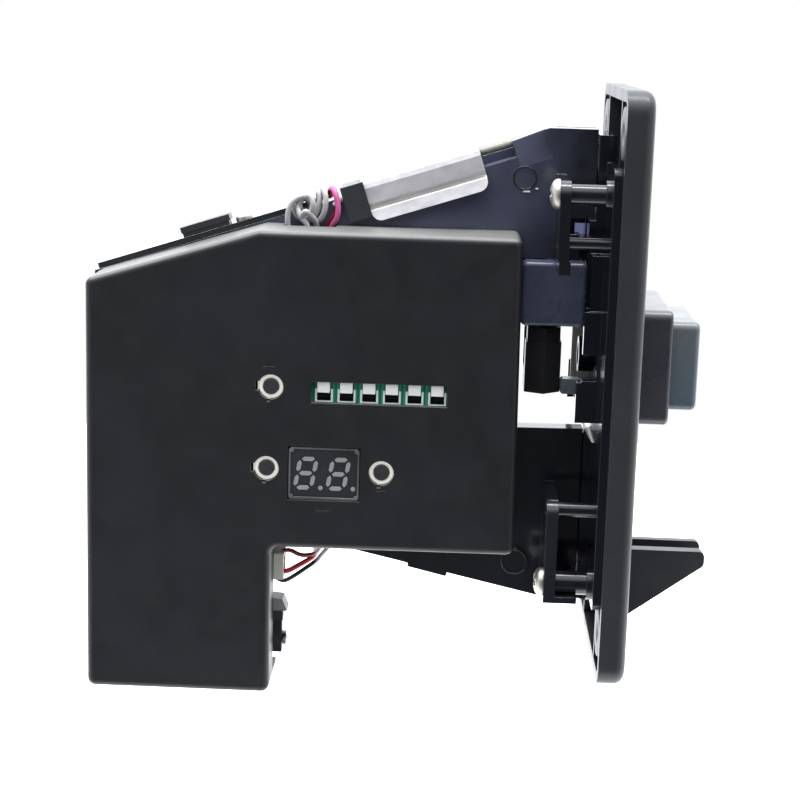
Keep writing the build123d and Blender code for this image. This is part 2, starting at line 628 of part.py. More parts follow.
def diverter_flap():
    """Flap, shaft and crank; at rest it roofs the outlet and leads the coin to the chute."""
    flap_y, flap_z = FLAP_PIVOT
    flap = Pos(0, flap_y, flap_z) * Rot(FLAP_REST_DEG, 0, 0) * block((-2.2, 2.8), (0, 31.0), (-0.6, 0.6))
    hub = rod_x(flap_y, flap_z, 1.7, (-2.2, 2.8))
    shaft = rod_x(flap_y, flap_z, 1.0, (-7.6, 14.0))
    pin_y = flap_y + CRANK_R * sin(radians(FLAP_SWING_DEG / 2))
    pin_z = flap_z + CRANK_R * cos(radians(FLAP_SWING_DEG / 2))
    lever = block((11.2, 13.4), (-1.2, 1.2), (0, CRANK_R))
    crank = Pos(0, flap_y, flap_z) * Rot(-FLAP_SWING_DEG / 2, 0, 0) * lever
    crank += rod_x(pin_y, pin_z, 1.2, (11.2, 13.4))
    crank += rod_x(pin_y, pin_z, 0.9, (13.2, 17.6))
    return shaft + flap + hub + crank


def solenoid_plunger():
    fork_y = FLAP_PIVOT[0] + CRANK_R * sin(radians(FLAP_SWING_DEG / 2))
    bar = rod_y(SOLENOID_X, SOLENOID_Z, PLUNGER_R, (50.0, 75.6))
    fork = block((14.6, 23.4), (75.4, fork_y + 2.6), (SOLENOID_Z - 3.2, SOLENOID_Z + 3.2))
    fork -= block((14.0, 18.6), (fork_y - 1.15, fork_y + 1.15), (SOLENOID_Z - 4, SOLENOID_Z + 4))
    return bar + fork


def solenoid_frame():
    z0 = SOLENOID_Z
    low, high = SOLENOID_FRAME_Y
    body = block((13.0, 27.8), SOLENOID_FRAME_Y, (z0 - 8.4, z0 + 8.4))
    body -= block((14.4, 29), (low + 1.4, high - 1.4), (z0 - 7.2, z0 + 7.2))
    body -= rod_y(SOLENOID_X, z0, PLUNGER_R + 0.25, (40, 75))
    return body + block((8.0, 13.2), (50.0, 64.0), (z0 - 5.0, z0 + 5.0))


def solenoid_coil():
    low, high = SOLENOID_FRAME_Y
    coil = rod_y(SOLENOID_X, SOLENOID_Z, COIL_R, (low + 1.6, high - 1.6))
    return coil - rod_y(SOLENOID_X, SOLENOID_Z, PLUNGER_R + 0.25, (40, 75))


# ---- electronics ----
def side_cover():
    outline = fillet(Polygon(*COVER_OUTLINE, align=None).vertices(), COVER_CORNER)
    body = extrude(Plane.YZ.offset(COVER_X[0]) * outline, COVER_X[1] - COVER_X[0])
    body = fillet(body.faces().sort_by(Axis.X)[0].edges(), COVER_ROUND)
    inner = offset(Polygon(*COVER_OUTLINE, align=None), -COVER_WALL)
    body -= extrude(Plane.YZ.offset(COVER_X[0] + COVER_WALL) * inner, 30)
    through = (COVER_X[0] - 1, COVER_X[0] + COVER_WALL + 1)
    body -= block(through, (34.9, 64.4), SWITCH_WINDOW_Z)
    body -= block(through, (DISPLAY_Y[0] - 0.2, DISPLAY_Y[1] + 0.2), (DISPLAY_Z[0] - 0.2, DISPLAY_Z[1] + 0.2))
    for name, (y, z) in TACTS.items():
        body -= rod_x(y, z, TACT_HOLE_R, through)
        body -= block(through, (y + 0.1, y + 0.9), (z - TACT_HOLE_R - 0.55, z))
        if name != "minus_button":
            body -= block(through, (y, y + TACT_HOLE_R + 0.7), (z - 0.9, z + 1.2))
    body -= block((-16.8, 0), (71.0, 76.0), (-69.0, -38.6))
    body -= block((-13.4, 0), (60.6, 72.0), (28.0, 34.5))
    for y, z in COVER_POSTS:
        body += rod_x(y, z, 2.4, (COVER_X[0] + 1, PCB_X[0]))
    return body


def main_pcb():
    inner = offset(Polygon(*COVER_OUTLINE, align=None), -2.6)
    board = extrude(Plane.YZ.offset(PCB_X[0]) * inner, PCB_X[1] - PCB_X[0])
    board -= block((-30, 0), (60, 120), (-80, -35.0))
    return board - block((-30, 0), (58.0, 73.6), (23.0, 40.0))


def display_body():
    return block((-25.6, PCB_X[0]), DISPLAY_Y, DISPLAY_Z)


def digit_segments(y_left, z_mid, depth):
    """Seven slanted bars and a point; y_left is the digit's left edge seen from -X."""
    bar = SEGMENT_T
    half = DIGIT_H / 2
    solids = []

    def slanted(y, z):
        return (y - DIGIT_LEAN * (z - z_mid), z)

    def bar_between(a, b, along_y):
        if along_y:
            points = [(a[0] - 0.35, a[1]), (a[0] - 0.85, a[1] + bar / 2), (b[0] + 0.85, b[1] + bar / 2),
                      (b[0] + 0.35, b[1]), (b[0] + 0.85, b[1] - bar / 2), (a[0] - 0.85, a[1] - bar / 2)]
        else:
            points = [(a[0], a[1] - 0.35), (a[0] + bar / 2, a[1] - 0.85), (b[0] + bar / 2, b[1] + 0.85),
                      (b[0], b[1] + 0.35), (b[0] - bar / 2, b[1] + 0.85), (a[0] - bar / 2, a[1] - 0.85)]
        points = [slanted(*point) for point in points]
        solids.append(sheet(points, depth))

    left = y_left - bar / 2
    right = y_left - DIGIT_W + bar / 2
    for z in (z_mid + half - bar / 2, z_mid, z_mid - half + bar / 2):
        bar_between((left, z), (right, z), True)
    for y in (left, right):
        bar_between((y, z_mid + half - bar / 2), (y, z_mid), False)
        bar_between((y, z_mid), (y, z_mid - half + bar / 2), False)
    solids.append(rod_x(right - 1.5, z_mid - half + 0.5, 0.5, depth))
    return solids


def display_digits():
    depth = (-25.75, -25.6)
    middle = (DISPLAY_Z[0] + DISPLAY_Z[1]) / 2
    solids = []
    for y_left in (DISPLAY_Y[1] - 1.5, DISPLAY_Y[1] - 8.6):
        solids += digit_segments(y_left, middle, depth)
    return group(solids)


def tact_bodies():
    one = block((-23.3, PCB_X[0]), (-TACT_HALF, TACT_HALF), (-TACT_HALF, TACT_HALF))
    return group(Pos(0, y, z) * one for y, z in TACTS.values())


def tact_plates():
    plates = []
    for y, z in TACTS.values():
        plate = block((-23.7, -23.3), (y - TACT_HALF, y + TACT_HALF), (z - TACT_HALF, z + TACT_HALF))
        plates.append(plate - rod_x(y, z, TACT_KEY_R + 0.1, (-25, -22)))
    return group(plates)


def tact_plunger(y, z):
    plunger = rod_x(y, z, TACT_KEY_R, (-25.6, -23.75))
    return fillet(plunger.edges().sort_by(Axis.X)[0], 0.3)


def switch_places():
    return [SWITCH_FIRST_Y + index * SWITCH_PITCH for index in range(SWITCH_COUNT)]


def switch_bodies():
    bodies = []
    for y in switch_places():
        body = block((-23.6, PCB_X[0]), (y - 1.95, y + 1.95), (-6.4, 2.4))
        body -= block((-25, -22.0), (y - 1.45, y + 1.45), (-4.9, 0.7))
        bodies.append(body)
    return group(bodies)


def slide_actuator(y):
    low = SWITCH_WINDOW_Z[0] + 0.25 + SWITCH_TRAVEL
    grip = block((-25.3, -23.7), (y - 1.35, y + 1.35), (low, SWITCH_WINDOW_Z[1] - 0.15))
    grip = fillet(grip.edges().filter_by(Axis.X), 0.15)
    return grip + block((-23.8, -22.1), (y - 1.35, y + 1.35), (low, 0.5))


def controller_chip():
    chip = block((PCB_X[1], PCB_X[1] + 2.0), (40, 54), (-6, 8))
    small = block((PCB_X[1], PCB_X[1] + 1.5), (84, 90), (-14, -5))
    cap = rod_x(96.0, 0.0, 3.1, (PCB_X[1], PCB_X[1] + 7.0))
    return group([chip, small, cap])


def io_board():
    return block((-10.0, -8.35), (76.2, 108.0), (-66.5, -39.6))


def wire_connector():
    body = block((-16.0, -10.05), (70.5, 79.0), (-48.1, -42.0))
    return body - block((-15.0, -11.2), (69, 73.5), (-47.2, -42.9))


def terminal_block():
    body = block((-13.6, -10.05), (70.8, 79.0), (-66.0, -57.6))
    head = block((-16.0, -10.05), (70.4, 79.0), (-57.6, -55.4))
    return body + head + block((-12.8, -11.0), (69.9, 71.0), (-64.0, -61.6))


def solenoid_lead(slot_x, slot_z, bend_y, drop, end_x):
    """Lead from a connector contact, under the chute and up to the solenoid."""
    route = [
        (slot_x, 73.4, slot_z),
        (slot_x, 69.4, slot_z + 0.3),
        (slot_x + 3.0, bend_y, drop),
        (end_x, bend_y - 3.0, drop),
        (end_x, bend_y - 3.0, -40.4),
    ]
    return tube_along(route, [1.6, 1.8, 1.6], 0.55)


LEADS = {
    "red_wire": (-12.4, -46.6, 64.6, -44.7, 17.0),
    "dark_red_wire": (-12.4, -44.2, 63.0, -43.3, 18.8),
    "black_wire": (-14.0, -46.6, 61.2, -44.5, 20.6),
}

NODES = {
    "front_plate": front_plate,
    "corner_inserts": corner_inserts,
    "button_frame": button_frame,
    "return_button": return_button,
    "button_spring": button_spring,
    "return_scoop": return_scoop,
    "sub_plate": sub_plate,
    "slot_guide_strip": slot_guide_strip,
    "fixing_screws": fixing_screws,
    "main_frame": main_frame,
    "throat_wall": throat_wall,
    "inlet_guide": inlet_guide,
    "runway_rail": runway_rail,
    "gate_plate": gate_plate,
    "gate_cam": gate_cam,
    "gate_coil": gate_coil,
    "sensor_coil": sensor_coil,
    "hinge_bracket": hinge_bracket,
    "hinge_pin": hinge_pin,
    "gate_spring": gate_spring,
    "top_lid": top_lid,
    "lid_clip": lid_clip,
    "lid_screw": lid_screw,
    "wire_guide": wire_guide,
    "coil_wire_grey": coil_wire_grey,
    "coil_wire_pink": coil_wire_pink,
    "chute_near": chute_near,
    "chute_far": chute_far,
    "chute_floor": chute_floor,
    "leg_chute": leg_chute,
    "diverter_flap": diverter_flap,
    "solenoid_frame": solenoid_frame,
    "solenoid_coil": solenoid_coil,
    "solenoid_plunger": solenoid_plunger,
    "side_cover": side_cover,
    "main_pcb": main_pcb,
    "display_body": display_body,
    "display_digits": display_digits,
    "tact_bodies": tact_bodies,
    "tact_plates": tact_plates,
    "switch_bodies": switch_bodies,
    "controller_chip": controller_chip,
    "io_board": io_board,
    "wire_connector": wire_connector,
    "terminal_block": terminal_block,
}

os.makedirs("parts", exist_ok=True)
for name, make in NODES.items():
    export_step(make(), f"parts/{name}.step")
for name, (y, z) in TACTS.items():
    export_step(tact_plunger(y, z), f"parts/{name}.step")
for index, y in enumerate(switch_places()):
    export_step(slide_actuator(y), f"parts/slide_{index + 1}.step")
for name, route in LEADS.items():
    export_step(solenoid_lead(*route), f"parts/{name}.step")
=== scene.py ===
import json
from math import cos, pi, radians, sin, sqrt

import bmesh
import bpy
from mathutils import Matrix, Vector


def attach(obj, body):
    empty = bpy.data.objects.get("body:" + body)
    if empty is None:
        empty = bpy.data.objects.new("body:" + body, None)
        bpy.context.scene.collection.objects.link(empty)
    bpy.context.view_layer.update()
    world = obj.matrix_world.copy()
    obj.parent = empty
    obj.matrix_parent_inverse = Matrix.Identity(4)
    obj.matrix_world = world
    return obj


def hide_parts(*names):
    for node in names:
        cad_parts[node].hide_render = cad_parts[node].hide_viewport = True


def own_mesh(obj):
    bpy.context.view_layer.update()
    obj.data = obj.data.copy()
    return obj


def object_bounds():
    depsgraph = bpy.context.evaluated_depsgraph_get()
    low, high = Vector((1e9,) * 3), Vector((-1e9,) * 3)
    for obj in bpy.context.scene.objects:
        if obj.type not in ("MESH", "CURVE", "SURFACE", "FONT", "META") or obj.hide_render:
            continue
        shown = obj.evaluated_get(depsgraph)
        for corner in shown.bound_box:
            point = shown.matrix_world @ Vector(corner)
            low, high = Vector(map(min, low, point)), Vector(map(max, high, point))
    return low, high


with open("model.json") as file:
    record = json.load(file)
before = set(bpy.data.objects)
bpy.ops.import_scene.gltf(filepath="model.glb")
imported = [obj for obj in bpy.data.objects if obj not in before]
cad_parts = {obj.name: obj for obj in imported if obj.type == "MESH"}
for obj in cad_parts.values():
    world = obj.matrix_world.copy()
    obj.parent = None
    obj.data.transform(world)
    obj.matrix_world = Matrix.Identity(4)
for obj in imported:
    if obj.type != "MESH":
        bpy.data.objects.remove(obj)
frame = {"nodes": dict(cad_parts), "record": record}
cad_low, cad_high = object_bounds()

MM = 0.001
SLOPE = radians(18.13)
SLOPE_TOP = (12.0, 54.8)


# ---- camera, light and floor ----
def add_camera():
    """Camera beside the electronics cover, a little above the object."""
    right = Vector((0.03291, -0.99900, 0.03017)).normalized()
    forward = Vector((0.98049, 0.02641, -0.19479)).normalized()
    up = right.cross(forward).normalized()
    right = forward.cross(up)
    data = bpy.data.cameras.new("camera")
    data.sensor_width = 36.0
    data.lens = 83.63
    data.clip_start = 0.01
    data.clip_end = 20.0
    camera = bpy.data.objects.new("camera", data)
    turn = Matrix((right, up, -forward)).transposed().to_4x4()
    camera.matrix_world = Matrix.Translation(Vector((-418.96, 34.51, 74.33)) * MM) @ turn
    bpy.context.scene.collection.objects.link(camera)
    bpy.context.scene.camera = camera


def add_world():
    """White studio tent with a dim opening on the camera's side."""
    world = bpy.data.worlds.new("studio")
    bpy.context.scene.world = world
    world.use_nodes = True
    nodes = world.node_tree.nodes
    links = world.node_tree.links
    nodes.clear()
    coords = nodes.new("ShaderNodeTexCoord")
    split = nodes.new("ShaderNodeSeparateXYZ")
    links.new(coords.outputs["Generated"], split.inputs[0])

    def ramp(source, low, high, start, end):
        node = nodes.new("ShaderNodeMapRange")
        node.interpolation_type = "SMOOTHSTEP"
        node.inputs["From Min"].default_value = low
        node.inputs["From Max"].default_value = high
        node.inputs["To Min"].default_value = start
        node.inputs["To Max"].default_value = end
        links.new(source, node.inputs["Value"])
        return node.outputs["Result"]

    def join(operation, a, b):
        node = nodes.new("ShaderNodeMath")
        node.operation = operation
        links.new(a, node.inputs[0])
        links.new(b, node.inputs[1])
        return node.outputs[0]

    opening = ramp(split.outputs["X"], -0.97, -0.5, 0.08, 0.9)
    far_side = ramp(split.outputs["X"], -0.1, 0.85, 0.0, 1.35)
    rear_gleam = join("MULTIPLY", ramp(split.outputs["Y"], 0.02, 0.3, 0.0, 0.35),
                      ramp(split.outputs["Z"], 0.1, -0.4, 0.5, 1.0))
    overhead = ramp(split.outputs["Z"], 0.35, 0.95, 0.0, 2.3)
    total = join("ADD", join("ADD", opening, far_side), join("ADD", rear_gleam, overhead))
    light = nodes.new("ShaderNodeBackground")
    light.inputs["Color"].default_value = (0.93, 0.96, 1.0, 1.0)
    links.new(total, light.inputs["Strength"])
    seen = nodes.new("ShaderNodeBackground")
    seen.inputs["Color"].default_value = (1.0, 1.0, 1.0, 1.0)
    seen.inputs["Strength"].default_value = 1.0
    path = nodes.new("ShaderNodeLightPath")
    mix = nodes.new("ShaderNodeMixShader")
    links.new(path.outputs["Is Camera Ray"], mix.inputs["Fac"])
    links.new(light.outputs[0], mix.inputs[1])
    links.new(seen.outputs[0], mix.inputs[2])
    out = nodes.new("ShaderNodeOutputWorld")
    links.new(mix.outputs[0], out.inputs["Surface"])


def add_strip_light():
    """Long soft lamp above the object, which draws fine lines along rods and rounded edges."""
    data = bpy.data.lights.new("strip", "AREA")
    data.shape = "RECTANGLE"
    data.size = 0.16
    data.size_y = 1.4
    data.energy = 17.0
    lamp = bpy.data.objects.new("strip", data)
    lamp.location = (-0.05, 0.02, 0.95)
    bpy.context.scene.collection.objects.link(lamp)


def add_floor():
    """White floor, cut off on the camera's side so that it doesn't light the near faces."""
    mesh = bpy.data.meshes.new("floor")
    near, half, height = -0.12, 0.8, cad_low.z - 0.12
    corners = [(near, -half, height), (half, -half, height), (half, half, height), (near, half, height)]
    mesh.from_pydata(corners, [], [(0, 1, 2, 3)])
    floor = bpy.data.objects.new("floor", mesh)
    bpy.context.scene.collection.objects.link(floor)
    material = bpy.data.materials.new("floor_white")
    material.use_nodes = True
    shader = material.node_tree.nodes["Principled BSDF"]
    shader.inputs["Base Color"].default_value = (0.92, 0.92, 0.92, 1.0)
    shader.inputs["Roughness"].default_value = 0.9
    mesh.materials.append(material)


# ---- materials ----
GRAIN_DEPTH = 0.00004
PLASTIC_EDGE = 0.0002
METAL_EDGE = 0.00012


class Surface:
    """Node tree of one procedural material."""

    def __init__(self, name):
        self.material = bpy.data.materials.new(name)
        self.material.use_nodes = True
        self.nodes = self.material.node_tree.nodes
        self.links = self.material.node_tree.links
        self.shader = self.nodes["Principled BSDF"]
        self.place = self.nodes.new("ShaderNodeTexCoord").outputs["Object"]

    def constant(self, **values):
        for key, value in values.items():
            self.shader.inputs[key.replace("_", " ")].default_value = value

    def scaled(self, scale):
        node = self.nodes.new("ShaderNodeVectorMath")
        node.operation = "MULTIPLY"
        node.inputs[1].default_value = scale
        self.links.new(self.place, node.inputs[0])
        return node.outputs[0]

    def noise(self, scale, detail=3.0, rough=0.5, stretch=(1, 1, 1)):
        node = self.nodes.new("ShaderNodeTexNoise")
        node.inputs["Scale"].default_value = scale
        node.inputs["Detail"].default_value = detail
        node.inputs["Roughness"].default_value = rough
        self.links.new(self.scaled(stretch), node.inputs["Vector"])
        return node.outputs["Fac"]

    def ramp(self, source, low, high, start, end):
        node = self.nodes.new("ShaderNodeMapRange")
        node.inputs["From Min"].default_value = low
        node.inputs["From Max"].default_value = high
        node.inputs["To Min"].default_value = start
        node.inputs["To Max"].default_value = end
        self.links.new(source, node.inputs["Value"])
        return node.outputs["Result"]

    def join(self, operation, a, b):
        node = self.nodes.new("ShaderNodeMath")
        node.operation = operation
        self.links.new(a, node.inputs[0])
        self.links.new(b, node.inputs[1])
        return node.outputs[0]

    def along(self, axis):
        node = self.nodes.new("ShaderNodeSeparateXYZ")
        self.links.new(self.place, node.inputs[0])
        return node.outputs[axis]

    def colours(self, source, stops):
        node = self.nodes.new("ShaderNodeValToRGB")
        ramp = node.color_ramp
        while len(ramp.elements) < len(stops):
            ramp.elements.new(0.5)
        for element, (position, colour) in zip(ramp.elements, stops):
            element.position = position
            element.color = (*colour, 1.0)
        self.links.new(source, node.inputs["Fac"])
        self.links.new(node.outputs["Color"], self.shader.inputs["Base Color"])

    def dust_and_sheen_on_tops(self, colour, amount=1.0):
        """Pale handling dust and scuffs on the faces that look upwards, mixed with a painted highlight on
        those tops.
        """
        facing = self.nodes.new("ShaderNodeSeparateXYZ")
        self.links.new(self.nodes.new("ShaderNodeNewGeometry").outputs["Normal"], facing.inputs[0])
        # Mask of upward-facing faces broken by noise: real dust plus painted light on the tops.
        cover = self.join("MULTIPLY", self.ramp(facing.outputs["Z"], 0.45, 0.95, 0.0, amount),
                          self.ramp(self.noise(260, 4.0, 0.6), 0.2, 0.7, 0.75, 1.0))
        mix = self.nodes.new("ShaderNodeMix")
        mix.data_type = "RGBA"
        base = self.shader.inputs["Base Color"]
        self.links.new(cover, mix.inputs["Factor"])
        self.links.new(base.links[0].from_socket, mix.inputs["A"])
        mix.inputs["B"].default_value = (*colour, 1.0)
        self.links.new(mix.outputs["Result"], base)

    def edges(self, radius):
        node = self.nodes.new("ShaderNodeBevel")
        node.samples = 4
        node.inputs["Radius"].default_value = radius
        return node.outputs["Normal"]

    def bump(self, source, strength, distance, normal=None):
        node = self.nodes.new("ShaderNodeBump")
        node.inputs["Strength"].default_value = strength
        node.inputs["Distance"].default_value = distance
        self.links.new(source, node.inputs["Height"])
        if normal is not None:
            self.links.new(normal, node.inputs["Normal"])
        self.links.new(node.outputs["Normal"], self.shader.inputs["Normal"])


def tinted(colour, factor):
    return tuple(min(1.0, c * factor) for c in colour)


def moulded(name, colour, rough, grain=0.15, grain_scale=2600, vary=0.25, ior=1.5, painted_glow=0.0, dust_and_sheen=None):
    """Moulded plastic: fine surface grain, faint smudges, uneven sheen and soft edges, with an optional
    painted glow.
    """
    s = Surface(name)
    smudges = s.join("ADD", s.ramp(s.noise(35, 5.0, 0.65), 0.3, 0.7, 0.0, 0.8),
                     s.ramp(s.noise(420, 3.0, 0.7), 0.6, 0.75, 0.0, 0.2))
    s.colours(smudges, [(0.1, tinted(colour, 1 - vary)), (0.9, tinted(colour, 1 + vary))])
    s.links.new(s.ramp(s.noise(140, 3.0, 0.6), 0.25, 0.75, rough * 0.85, min(1.0, rough * 1.15)),
                s.shader.inputs["Roughness"])
    s.constant(IOR=ior)
    if dust_and_sheen:
        s.dust_and_sheen_on_tops(dust_and_sheen)
    # Painted light: an emission that makes the plastic glow though it is no lamp.
    if painted_glow:
        s.constant(Emission_Color=(*colour, 1.0), Emission_Strength=painted_glow)
    s.bump(s.noise(grain_scale, 2.0, 0.5), grain, GRAIN_DEPTH, s.edges(PLASTIC_EDGE))
    return s.material


def moulding_with_painted_shade(name, axis, low, high, start, end, rough, grain=0.1, painted_shade_fades=()):
    """Glossy moulding with painted light and shade: its colour runs from one end of the piece to the
    other.
    """
    s = Surface(name)
    painted_light_ramp = s.join("ADD", s.ramp(s.along(axis), low, high, 0.1, 0.8),
                   s.ramp(s.noise(55, 4.0, 0.6), 0.3, 0.7, -0.1, 0.15))
    # Painted shade: each fade pulls the colour back towards the start colour on one side.
    for fade_axis, *fade in painted_shade_fades:
        painted_light_ramp = s.join("MULTIPLY", painted_light_ramp, s.ramp(s.along(fade_axis), *fade))
    s.colours(painted_light_ramp, [(0.0, start), (1.0, end)])
    s.links.new(s.ramp(s.noise(160, 3.0, 0.6), 0.25, 0.75, rough * 0.8, rough * 1.25),
                s.shader.inputs["Roughness"])
    s.bump(s.noise(2200, 2.0, 0.5), grain, GRAIN_DEPTH, s.edges(PLASTIC_EDGE))
    return s.material


def metal(name, colour, rough, stretch=(1, 1, 1), grain_scale=900, strength=0.25, metallic=1.0, dust_and_sheen=None):
    """Bare or plated metal with brushing along one direction."""
    s = Surface(name)
    brushing = s.noise(grain_scale, 3.0, 0.65, stretch)
    s.colours(brushing, [(0.25, tinted(colour, 0.84)), (0.75, colour)])
    s.links.new(s.ramp(brushing, 0.3, 0.7, rough * 0.75, rough * 1.25), s.shader.inputs["Roughness"])
    s.constant(Metallic=metallic)
    if dust_and_sheen:
        s.dust_and_sheen_on_tops(dust_and_sheen)
    s.bump(brushing, strength, 0.00003, s.edges(METAL_EDGE))
    return s.material


def jacket(name, colour):
    """Soft wire insulation."""
    s = Surface(name)
    s.colours(s.noise(300, 2.0), [(0.3, tinted(colour, 0.75)), (0.7, colour)])
    s.constant(Roughness=0.45, IOR=1.48)
    s.bump(s.noise(1500, 2.0), 0.2, GRAIN_DEPTH)
    return s.material


def board(name):
    """Green solder mask with copper tracks showing through."""
    s = Surface(name)
    tracks = s.nodes.new("ShaderNodeTexBrick")
    tracks.inputs["Scale"].default_value = 260.0
    tracks.inputs["Mortar Size"].default_value = 0.06
    tracks.inputs["Color1"].default_value = (0.012, 0.20, 0.12, 1.0)
    tracks.inputs["Color2"].default_value = (0.02, 0.26, 0.16, 1.0)
    tracks.inputs["Mortar"].default_value = (0.05, 0.42, 0.26, 1.0)
    s.links.new(s.scaled((0.3, 1, 1)), tracks.inputs["Vector"])
    s.links.new(tracks.outputs["Color"], s.shader.inputs["Base Color"])
    s.constant(Roughness=0.3)
    s.bump(tracks.outputs["Fac"], 0.2, 0.00003)
    return s.material


MATERIALS = {
    "plate_plastic": moulded("plate_plastic", (0.027, 0.029, 0.033), 0.36, grain=0.25, vary=0.1,
                             ior=1.42),
    # The pale grey on the upward faces is partly dust and partly a painted highlight on the lid's top
    # band.
    "cover_plastic": moulded("cover_plastic", (0.0120, 0.0130, 0.0150), 0.42, grain=0.5, grain_scale=1700,
                             vary=0.15, ior=1.4, dust_and_sheen=(0.13, 0.13, 0.125)),
    # Painted shade: near black at low Y, lighter towards Y = 22 mm.
    "mechanism_plastic": moulding_with_painted_shade("mechanism_plastic", "Y", low=0.004, high=0.022,
                                         start=(0.006, 0.007, 0.012), end=(0.021, 0.022, 0.026),
                                         rough=0.13, grain=0.06),
    "inlet_plastic": moulded("inlet_plastic", (0.085, 0.098, 0.155), 0.28, grain=0.08, vary=0.3),
    # Painted light: greyer and lighter towards the top, bluer and darker towards the bottom.
    "button_plastic": moulding_with_painted_shade("button_plastic", "Z", low=-0.01, high=0.015,
                                      start=(0.060, 0.100, 0.135), end=(0.120, 0.125, 0.125),
                                      rough=0.3, grain=0.05),
    "zinc": metal("zinc", (0.55, 0.53, 0.48), 0.42),
    # The yellowish pale colour on upward faces is partly dust and partly a painted highlight on the
    # bracket's top face.
    "steel": metal("steel", (0.84, 0.82, 0.85), 0.42, stretch=(1, 0.15, 0.15), grain_scale=1400,
                   metallic=0.55, strength=0.5, dust_and_sheen=(0.42, 0.385, 0.28)),
    "ivory_plastic": moulded("ivory_plastic", (0.74, 0.71, 0.62), 0.45, vary=0.05),
    "white_plastic": moulded("white_plastic", (0.82, 0.82, 0.80), 0.4, vary=0.04),
    "black_plastic": moulded("black_plastic", (0.034, 0.034, 0.038), 0.35),
    "circuit_board": board("circuit_board"),
    "display_grey": moulded("display_grey", (0.030, 0.031, 0.034), 0.2, grain=0.03),
    "digit_grey": moulded("digit_grey", (0.27, 0.28, 0.285), 0.35, vary=0.1, grain=0.03),
    "copper": metal("copper", (0.72, 0.34, 0.16), 0.35, stretch=(1, 3, 1)),
    "grey_wire": jacket("grey_wire", (0.42, 0.41, 0.42)),
    "pink_wire": jacket("pink_wire", (0.62, 0.10, 0.30)),
    "red_wire": jacket("red_wire", (0.62, 0.035, 0.05)),
    "dark_red_wire": jacket("dark_red_wire", (0.24, 0.012, 0.02)),
    "black_wire": jacket("black_wire", (0.015, 0.015, 0.016)),
}
# Painted light: the nickel glows faintly, standing in for the light that reaches the deep key holes.
DULL_NICKEL = moulded("dull_nickel", (0.95, 0.93, 0.86), 0.4, vary=0.05, painted_glow=0.4)
# The pale grey on the bezel's upward faces is partly dust and partly a painted highlight.
BEZEL_PLASTIC = moulded("bezel_plastic", (0.046, 0.048, 0.053), 0.3, grain=0.1, dust_and_sheen=(0.10, 0.10, 0.10))
INSERT_METAL = metal("insert_metal", (0.20, 0.20, 0.21), 0.55, metallic=0.7)
SHADED_SPRING = metal("shaded_spring", (0.10, 0.10, 0.10), 0.5)
# Painted light and shade: a lilac-blue sheen that grows along Y, faded to near black at the near flange
# (low X) and darker at the far end (high Y).
FRAME_PLASTIC = moulding_with_painted_shade("frame_plastic", "Y", low=0.008, high=0.042,
                                start=(0.006, 0.007, 0.010), end=(0.120, 0.132, 0.205), rough=0.2,
                                painted_shade_fades=(("X", -0.0125, -0.0085, 0.0, 1.0), ("Y", 0.060, 0.085, 1.0, 0.2)))
DARK_PIN = metal("dark_pin", (0.24, 0.24, 0.21), 0.55, metallic=0.5)
# Painted light: the lilac film glows, standing in for the light seen through the neck's window.
LILAC_FILM = moulded("lilac_film", (0.20, 0.22, 0.42), 0.3, vary=0.1, painted_glow=0.55)
PALE_LATCH = moulded("pale_latch", (0.22, 0.225, 0.22), 0.4, vary=0.15)
NAVY_GLOSS = moulded("navy_gloss", (0.012, 0.016, 0.045), 0.15, grain=0.03)
# Painted light on real print: the white silkscreen glows faintly.
SILKSCREEN = moulded("silkscreen", (0.85, 0.90, 0.88), 0.6, vary=0.05, painted_glow=0.2)
SMOKED_RIM = moulded("smoked_rim", (0.13, 0.135, 0.14), 0.25, vary=0.7, grain_scale=900)


def dress_cad_nodes():
    """Gives every carried-over node the material of its slot."""
    for part in frame["record"]["subparts"]:
        node = frame["nodes"][part["node"]]
        node.data.materials.clear()
        node.data.materials.append(MATERIALS[part["material_slot"]])
    frame["nodes"]["main_frame"].data.materials[0] = FRAME_PLASTIC
    frame["nodes"]["hinge_pin"].data.materials[0] = DARK_PIN
    frame["nodes"]["button_frame"].data.materials[0] = BEZEL_PLASTIC


# ---- shapes ----
def circle(place, radius, height, sides):
    """Ring of placed points at one height of a turned shape."""
    return [place(radius * cos(2 * pi * i / sides), radius * sin(2 * pi * i / sides), height)
            for i in range(sides)]


